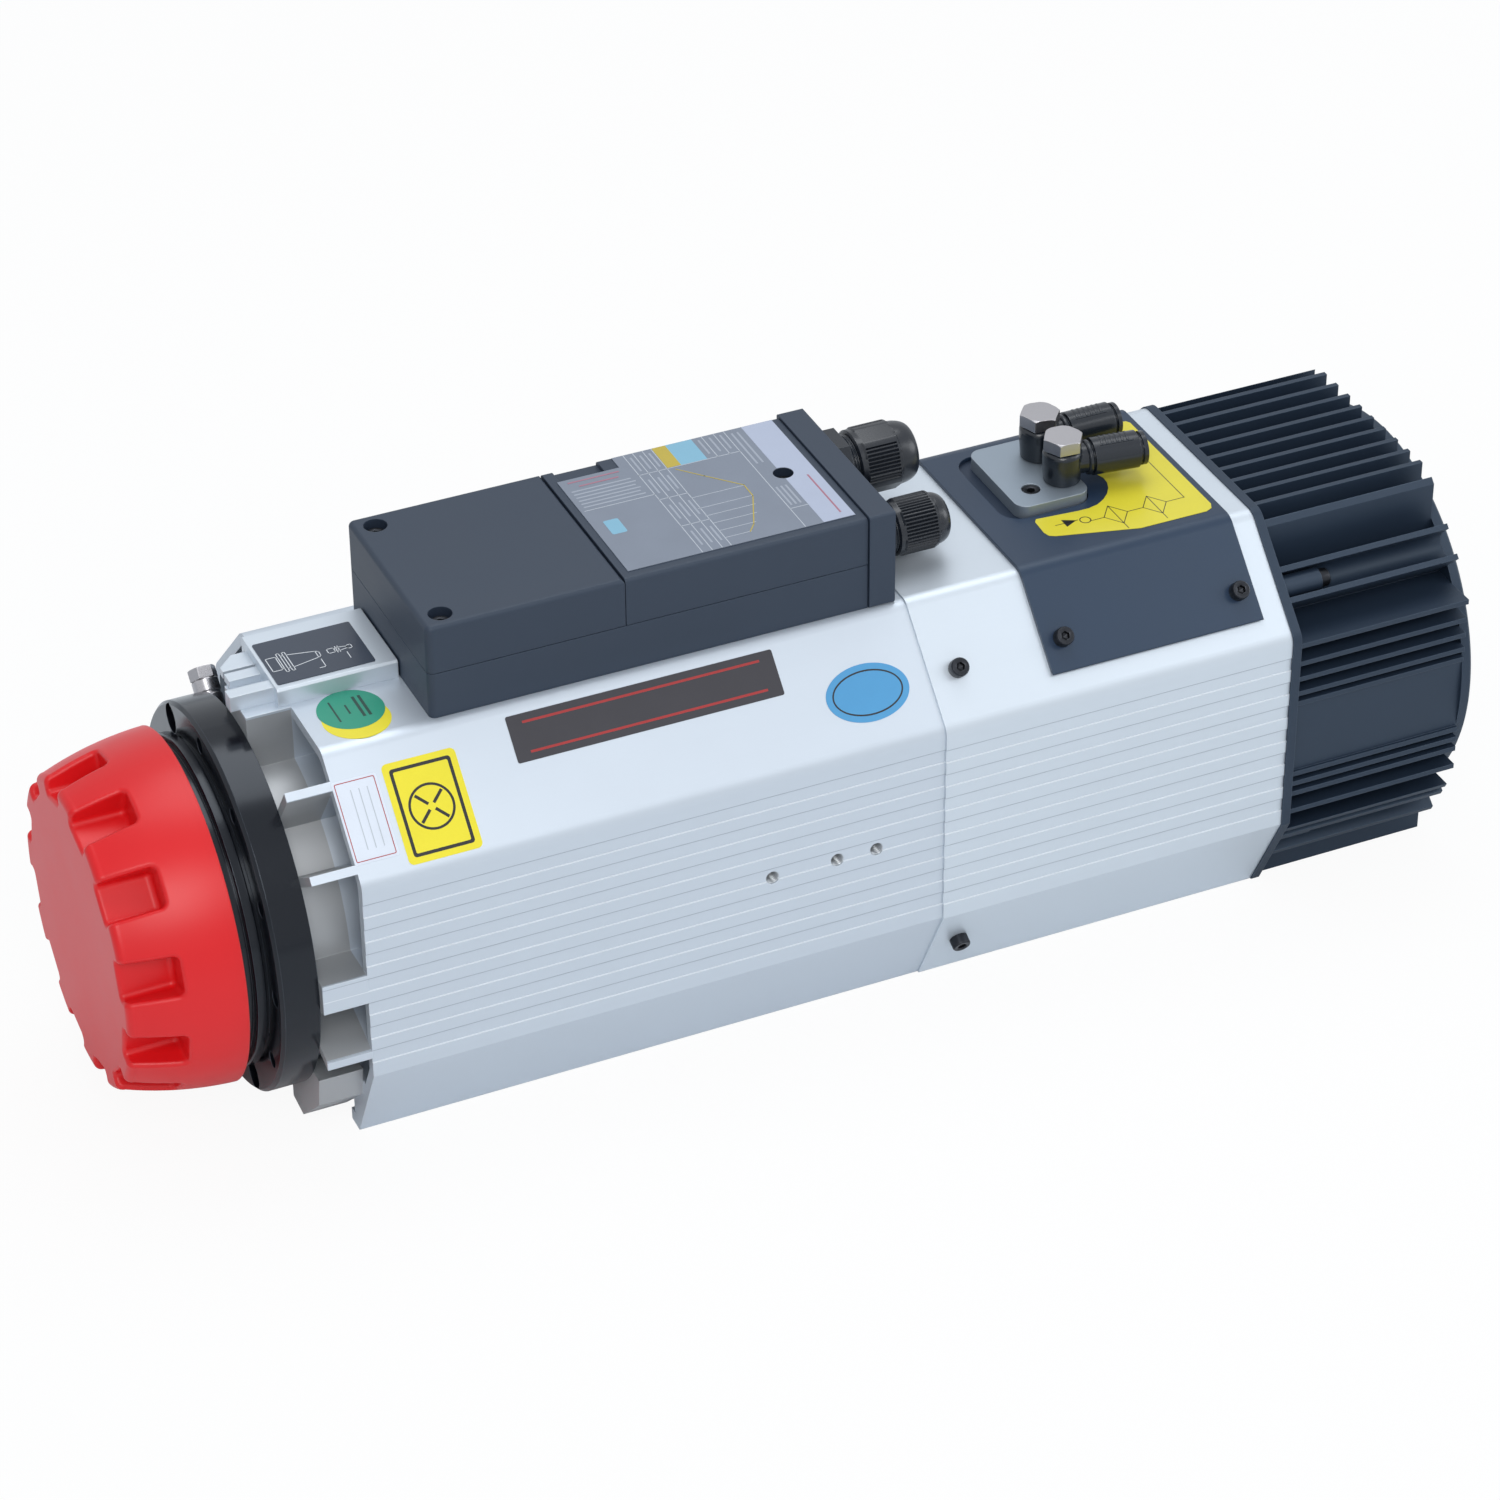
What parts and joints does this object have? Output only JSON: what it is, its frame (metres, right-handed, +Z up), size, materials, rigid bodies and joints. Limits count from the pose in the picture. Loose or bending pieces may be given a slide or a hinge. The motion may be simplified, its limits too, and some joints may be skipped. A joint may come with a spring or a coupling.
{
  "type": "motor spindle",
  "caption": "Air-cooled tool-change motor spindle: octagonal finned housing, black nose flange with a red cap, top terminal box, cable glands, air elbows and a rear fan.",
  "frame": {"origin": "on the mounting face, on the centre line, half way along the front housing", "axes": "+X from the nose to the tail along the spindle, +Z up away from the mounting face"},
  "size_m": [0.524, 0.1528, 0.1929],
  "materials": {
    "front_housing": "satin silver anodised extrusion",
    "rear_housing": "satin silver anodised extrusion",
    "front_flange": "gloss black anodised",
    "nose_collar": "gloss black anodised",
    "flange_screws": "black oxide",
    "nose_plug": "nickel plated",
    "nose_cap": "red moulded plastic",
    "spindle_shaft": "ground steel",
    "drive_keys": "hardened steel",
    "flinger": "ground steel",
    "front_outer_rings": "polished bearing steel",
    "front_inner_rings": "polished bearing steel",
    "rear_outer_ring": "polished bearing steel",
    "rear_inner_ring": "polished bearing steel",
    "bearing_balls": "polished balls",
    "front_bearing_sleeve": "ground steel",
    "bearing_spacer": "ground steel",
    "lock_nut": "black oxide",
    "rear_bearing_carrier": "machined",
    "stator_core": "laminated steel",
    "stator_windings": "varnished copper",
    "rotor_core": "laminated steel",
    "disc_springs": "phosphated spring steel",
    "drawbar": "ground steel",
    "gripper": "hardened steel",
    "cylinder_body": "machined",
    "cylinder_cover": "machined",
    "piston": "hard anodised",
    "piston_seal": "seal compound",
    "sensor_bracket": "machined",
    "tool_sensors": "nickel plated sleeve",
    "housing_screws": "black oxide",
    "rim_plate": "satin black",
    "fan_housing": "satin black",
    "fan_screws": "black oxide",
    "fan_frame": "moulded black plastic",
    "fan_rotor": "moulded black plastic",
    "rear_grille": "satin black",
    "grille_screws": "black oxide",
    "box_base": "moulded slate black plastic",
    "front_lid": "moulded slate black plastic",
    "rear_lid": "moulded slate black plastic",
    "end_plate": "moulded slate black plastic",
    "lid_screws": "black oxide",
    "terminal_block": "moulded grey plastic",
    "large_gland_body": "moulded black nylon",
    "small_gland_body": "moulded black nylon",
    "large_gland_nut": "moulded black nylon",
    "small_gland_nut": "moulded black nylon",
    "gland_seals": "rubber",
    "cover_plate": "satin black sheet",
    "cover_screws": "black oxide",
    "port_plate": "bead blasted",
    "port_plate_screws": "black oxide",
    "banjo_bolts": "nickel plated brass",
    "elbow_near": "moulded black plastic",
    "elbow_far": "moulded black plastic",
    "release_ring_near": "moulded black plastic",
    "release_ring_far": "moulded black plastic",
    "sensor_block": "machined and anodised"
  },
  "bodies": {
    "housing": {"front_housing": "front_housing", "rear_housing": "rear_housing", "front_flange": "front_flange", "nose_collar": "nose_collar", "flange_screws": "flange_screws", "nose_plug": "nose_plug", "front_outer_rings": "front_outer_rings", "rear_outer_ring": "rear_outer_ring", "bearing_balls": "bearing_balls", "front_bearing_sleeve": "front_bearing_sleeve", "rear_bearing_carrier": "rear_bearing_carrier", "stator_core": "stator_core", "stator_windings": "stator_windings", "cylinder_body": "cylinder_body", "cylinder_cover": "cylinder_cover", "sensor_bracket": "sensor_bracket", "tool_sensors": "tool_sensors", "housing_screws": "housing_screws", "rim_plate": "rim_plate", "fan_housing": "fan_housing", "fan_screws": "fan_screws", "fan_frame": "fan_frame", "rear_grille": "rear_grille", "grille_screws": "grille_screws", "box_base": "box_base", "front_lid": "front_lid", "rear_lid": "rear_lid", "end_plate": "end_plate", "lid_screws": "lid_screws", "terminal_block": "terminal_block", "large_gland_body": "large_gland_body", "small_gland_body": "small_gland_body", "large_gland_nut": "large_gland_nut", "small_gland_nut": "small_gland_nut", "gland_seals": "gland_seals", "cover_plate": "cover_plate", "cover_screws": "cover_screws", "port_plate": "port_plate", "port_plate_screws": "port_plate_screws", "banjo_bolts": "banjo_bolts", "sensor_block": "sensor_block"},
    "spindle": {"spindle_shaft": "spindle_shaft", "drive_keys": "drive_keys", "flinger": "flinger", "front_inner_rings": "front_inner_rings", "bearing_spacer": "bearing_spacer", "lock_nut": "lock_nut", "rotor_core": "rotor_core", "rear_inner_ring": "rear_inner_ring", "disc_springs": "disc_springs"},
    "drawbar": {"drawbar": "drawbar", "gripper": "gripper"},
    "piston": {"piston": "piston", "piston_seal": "piston_seal"},
    "cap": {"nose_cap": "nose_cap"},
    "fan": {"fan_rotor": "fan_rotor"},
    "elbow_near": {"elbow_near": "elbow_near"},
    "elbow_far": {"elbow_far": "elbow_far"},
    "ring_near": {"release_ring_near": "release_ring_near"},
    "ring_far": {"release_ring_far": "release_ring_far"}
  },
  "joints": [
    {"name": "cap_pull", "type": "slide", "parent": "housing", "child": "cap", "axis": [-1, 0, 0], "range_m": [0, 0.06]},
    {"name": "spindle_spin", "type": "hinge", "parent": "housing", "child": "spindle", "pos_m": [0, 0, 0.0755], "axis": [1, 0, 0], "continuous": true},
    {"name": "piston_stroke", "type": "slide", "parent": "housing", "child": "piston", "axis": [-1, 0, 0], "range_m": [0, 0.008]},
    {"name": "drawbar_stroke", "type": "slide", "parent": "spindle", "child": "drawbar", "axis": [-1, 0, 0], "range_m": [0, 0.008], "stiffness_N_per_m": 100000, "springref_m": -0.005, "deforming": ["disc_springs"]},
    {"name": "fan_spin", "type": "hinge", "parent": "housing", "child": "fan", "pos_m": [0.33425, 0, 0.0755], "axis": [1, 0, 0], "continuous": true},
    {"name": "elbow_near_swivel", "type": "hinge", "parent": "housing", "child": "elbow_near", "pos_m": [0.20305, 0.0015, 0.1684], "axis": [0, 0, 1], "range_deg": [-110, 0]},
    {"name": "elbow_far_swivel", "type": "hinge", "parent": "housing", "child": "elbow_far", "pos_m": [0.20305, 0.0201, 0.1684], "axis": [0, 0, 1], "range_deg": [0, 110]},
    {"name": "release_ring_near_push", "type": "slide", "parent": "elbow_near", "child": "ring_near", "axis": [-0.9925, 0.1219, 0], "range_m": [0, 0.0012], "stiffness_N_per_m": 400, "springref_m": -0.0005},
    {"name": "release_ring_far_push", "type": "slide", "parent": "elbow_far", "child": "ring_far", "axis": [-1, 0, 0], "range_m": [0, 0.0012], "stiffness_N_per_m": 400, "springref_m": -0.0005}
  ],
  "couplings": [
    {"joint": "drawbar_stroke", "follows": "piston_stroke", "ratio": 1}
  ]
}
